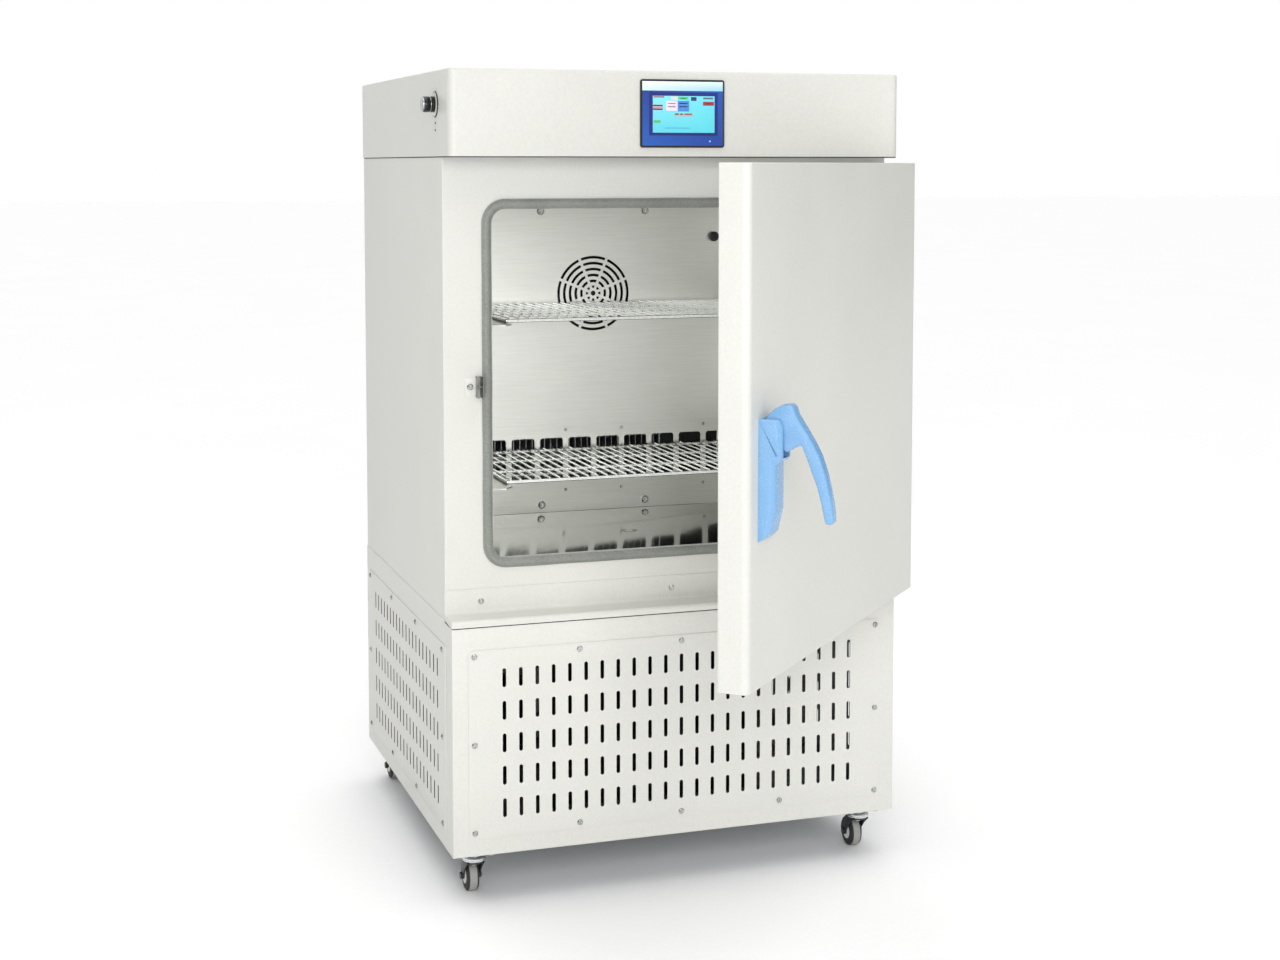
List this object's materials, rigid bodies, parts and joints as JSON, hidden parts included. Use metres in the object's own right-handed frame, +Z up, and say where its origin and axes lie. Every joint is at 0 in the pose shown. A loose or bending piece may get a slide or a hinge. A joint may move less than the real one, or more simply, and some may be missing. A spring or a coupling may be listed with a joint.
{
  "type": "laboratory incubator",
  "caption": "Upright cooled laboratory incubator on castors with an insulated hinged door, stainless chamber with wire shelves, vented base and a hood with a touch display.",
  "frame": {"origin": "on the floor under the middle of the cabinet", "axes": "+X to the right seen from the door side, +Y to the back, +Z up; the door side faces -Y"},
  "size_m": [0.809, 1.3011, 1.308],
  "materials": {
    "painted_steel": "fine orange-peel powder paint, light grey white",
    "galvanised_sheet": "dull galvanised sheet",
    "stainless_steel": "brushed stainless sheet",
    "zinc_screws": "bright plated screw heads",
    "zinc_plated_steel": "zinc plated steel",
    "insulating_foam": "rigid polyurethane foam",
    "seal_rubber": "soft grey rubber seal",
    "black_rubber": "moulded rubber",
    "motor_black": "satin black enamel",
    "aluminium_fins": "thin aluminium fins",
    "condenser_fins": "black coated fins",
    "heater_sheath": "heat-stained steel sheath",
    "black_plastic": "moulded black plastic",
    "screen_glass": "lit touch screen with a blue picture",
    "circuit_board": "solder mask and components",
    "copper_tube": "drawn copper tube",
    "blue_plastic": "light blue moulded plastic",
    "shelf_wire": "electropolished steel wire",
    "satin_cap": "satin aluminium",
    "black_fork": "black pressed steel with a bright swivel ring",
    "castor_wheel": "grey moulded tread and hub"
  },
  "bodies": {
    "cabinet": {"base_pan": "galvanised_sheet", "lower_shell": "painted_steel", "front_vent_panel": "painted_steel", "side_vent_panels": "painted_steel", "rear_panel": "painted_steel", "panel_screws": "zinc_screws", "sill": "painted_steel", "frame_screws": "zinc_screws", "mid_shell": "painted_steel", "front_frame": "painted_steel", "chamber_liner": "stainless_steel", "insulation": "insulating_foam", "chamber_drain": "stainless_steel", "door_gasket": "seal_rubber", "striker": "zinc_plated_steel", "duct_panel": "stainless_steel", "return_grille": "stainless_steel", "duct_screws": "zinc_screws", "fan_motor": "motor_black", "evaporator": "aluminium_fins", "heater": "heater_sheath", "shelf_rails": "stainless_steel", "temperature_probe": "black_plastic", "hood_shell": "painted_steel", "hood_floor": "galvanised_sheet", "display_bezel": "black_plastic", "display_screen": "screen_glass", "control_board": "circuit_board", "power_supply": "galvanised_sheet", "switch_collar": "black_plastic", "compressor": "motor_black", "compressor_mounts": "black_rubber", "condenser_coil": "condenser_fins", "condenser_shroud": "galvanised_sheet", "condenser_motor": "motor_black", "refrigerant_lines": "copper_tube", "mains_inlet": "black_plastic", "cabinet_hinges": "zinc_plated_steel", "castor_plates": "zinc_plated_steel"},
    "door": {"door_skin": "painted_steel", "door_liner": "painted_steel", "door_foam": "insulating_foam", "door_hinges": "zinc_plated_steel", "handle_base": "blue_plastic"},
    "lever": {"lever": "blue_plastic"},
    "latch_hook": {"latch_hook": "zinc_plated_steel"},
    "upper_shelf": {"upper_shelf": "shelf_wire"},
    "lower_shelf": {"lower_shelf": "shelf_wire"},
    "fan_rotor": {"fan_rotor": "black_plastic"},
    "condenser_fan": {"condenser_fan": "black_plastic"},
    "switch_knob": {"switch_knob": "satin_cap"},
    "fork_fl": {"fork_fl": "black_fork"},
    "wheel_fl": {"wheel_fl": "castor_wheel"},
    "fork_fr": {"fork_fr": "black_fork"},
    "wheel_fr": {"wheel_fr": "castor_wheel"},
    "fork_rl": {"fork_rl": "black_fork"},
    "wheel_rl": {"wheel_rl": "castor_wheel"},
    "fork_rr": {"fork_rr": "black_fork"},
    "wheel_rr": {"wheel_rr": "castor_wheel"}
  },
  "joints": [
    {"name": "door_hinge", "type": "hinge", "parent": "cabinet", "child": "door", "pos_m": [0.4, -0.318, 0.808], "axis": [0, 0, 1], "range_deg": [-47, 68]},
    {"name": "lever_pivot", "type": "hinge", "parent": "door", "child": "lever", "pos_m": [-0.05842, -0.87704, 0.814], "axis": [0.682, 0.7314, 0], "range_deg": [0, 20]},
    {"name": "hook_pivot", "type": "hinge", "parent": "door", "child": "latch_hook", "pos_m": [-0.07597, -0.86068, 0.814], "axis": [0.682, 0.7314, 0], "range_deg": [-20, 0]},
    {"name": "upper_shelf_slide", "type": "slide", "parent": "cabinet", "child": "upper_shelf", "axis": [0, -1, 0], "range_m": [0, 0.085]},
    {"name": "lower_shelf_slide", "type": "slide", "parent": "cabinet", "child": "lower_shelf", "axis": [0, -1, 0], "range_m": [0, 0.085]},
    {"name": "fan_spin", "type": "hinge", "parent": "cabinet", "child": "fan_rotor", "pos_m": [0, 0.148, 0.928], "axis": [0, 1, 0], "continuous": true},
    {"name": "condenser_fan_spin", "type": "hinge", "parent": "cabinet", "child": "condenser_fan", "pos_m": [-0.04, -0.203, 0.248], "axis": [0, 1, 0], "continuous": true},
    {"name": "switch_turn", "type": "hinge", "parent": "cabinet", "child": "switch_knob", "pos_m": [-0.38, -0.262, 1.255], "axis": [1, 0, 0], "range_deg": [-90, 0]},
    {"name": "swivel_fl", "type": "hinge", "parent": "cabinet", "child": "fork_fl", "pos_m": [-0.3345, -0.307, 0.062], "axis": [0, 0, 1], "continuous": true},
    {"name": "roll_fl", "type": "hinge", "parent": "fork_fl", "child": "wheel_fl", "pos_m": [-0.3345, -0.282, 0.025], "axis": [1, 0, 0], "continuous": true},
    {"name": "swivel_fr", "type": "hinge", "parent": "cabinet", "child": "fork_fr", "pos_m": [0.3345, -0.307, 0.062], "axis": [0, 0, 1], "continuous": true},
    {"name": "roll_fr", "type": "hinge", "parent": "fork_fr", "child": "wheel_fr", "pos_m": [0.3345, -0.282, 0.025], "axis": [1, 0, 0], "continuous": true},
    {"name": "swivel_rl", "type": "hinge", "parent": "cabinet", "child": "fork_rl", "pos_m": [-0.3345, 0.307, 0.062], "axis": [0, 0, 1], "continuous": true},
    {"name": "roll_rl", "type": "hinge", "parent": "fork_rl", "child": "wheel_rl", "pos_m": [-0.3345, 0.332, 0.025], "axis": [1, 0, 0], "continuous": true},
    {"name": "swivel_rr", "type": "hinge", "parent": "cabinet", "child": "fork_rr", "pos_m": [0.3345, 0.307, 0.062], "axis": [0, 0, 1], "continuous": true},
    {"name": "roll_rr", "type": "hinge", "parent": "fork_rr", "child": "wheel_rr", "pos_m": [0.3345, 0.332, 0.025], "axis": [1, 0, 0], "continuous": true}
  ],
  "couplings": [
    {"joint": "hook_pivot", "follows": "lever_pivot", "ratio": -1}
  ]
}
